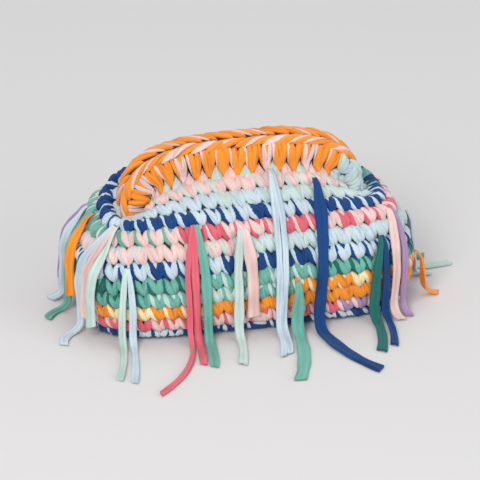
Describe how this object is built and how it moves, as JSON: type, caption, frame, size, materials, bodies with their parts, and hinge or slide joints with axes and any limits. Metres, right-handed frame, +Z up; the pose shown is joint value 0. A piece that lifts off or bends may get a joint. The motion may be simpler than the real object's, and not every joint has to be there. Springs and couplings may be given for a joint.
{
  "type": "crochet clutch handbag",
  "caption": "Striped crochet clutch bag in thick jersey yarn, with a covered arch-shaped clasp frame and a hanging fringe of jersey strips.",
  "frame": {"origin": "the middle of the flat underside, on the surface that the bag rests on", "axes": "+X along the bag's length, -Y out of its front, +Z up through the arch"},
  "size_m": [0.3593, 0.2987, 0.149],
  "materials": {
    "aqua_jersey": "matte jersey yarn",
    "coral_jersey": "matte jersey yarn",
    "green_jersey": "matte jersey yarn",
    "ice_jersey": "matte jersey yarn",
    "lilac_jersey": "matte jersey yarn",
    "mint_jersey": "matte jersey yarn",
    "navy_jersey": "matte jersey yarn",
    "orange_jersey": "matte jersey yarn",
    "pink_jersey": "matte jersey yarn"
  },
  "bodies": {
    "root": {"pouch": "ice_jersey", "frame_cover_front": "orange_jersey", "frame_cover_back": "orange_jersey", "fringe_front_corner_left": "mint_jersey", "fringe_front_left": "coral_jersey", "fringe_front_middle": "mint_jersey", "fringe_front_flap_middle": "ice_jersey", "fringe_front_low": "aqua_jersey", "fringe_front_flap_right": "navy_jersey", "fringe_front_corner_right": "green_jersey", "fringe_front_end_right": "pink_jersey", "fringe_right_front": "orange_jersey", "fringe_right_middle": "ice_jersey", "fringe_right_back": "aqua_jersey", "fringe_left_front": "ice_jersey", "fringe_left_middle": "aqua_jersey", "fringe_left_back": "lilac_jersey", "fringe_left_back_low": "green_jersey", "fringe_back_corner_left": "pink_jersey", "fringe_back_left": "mint_jersey", "fringe_back_flap_left": "ice_jersey", "fringe_back_middle": "orange_jersey", "fringe_back_flap_right": "aqua_jersey", "fringe_back_corner_right": "coral_jersey"}
  },
  "joints": []
}
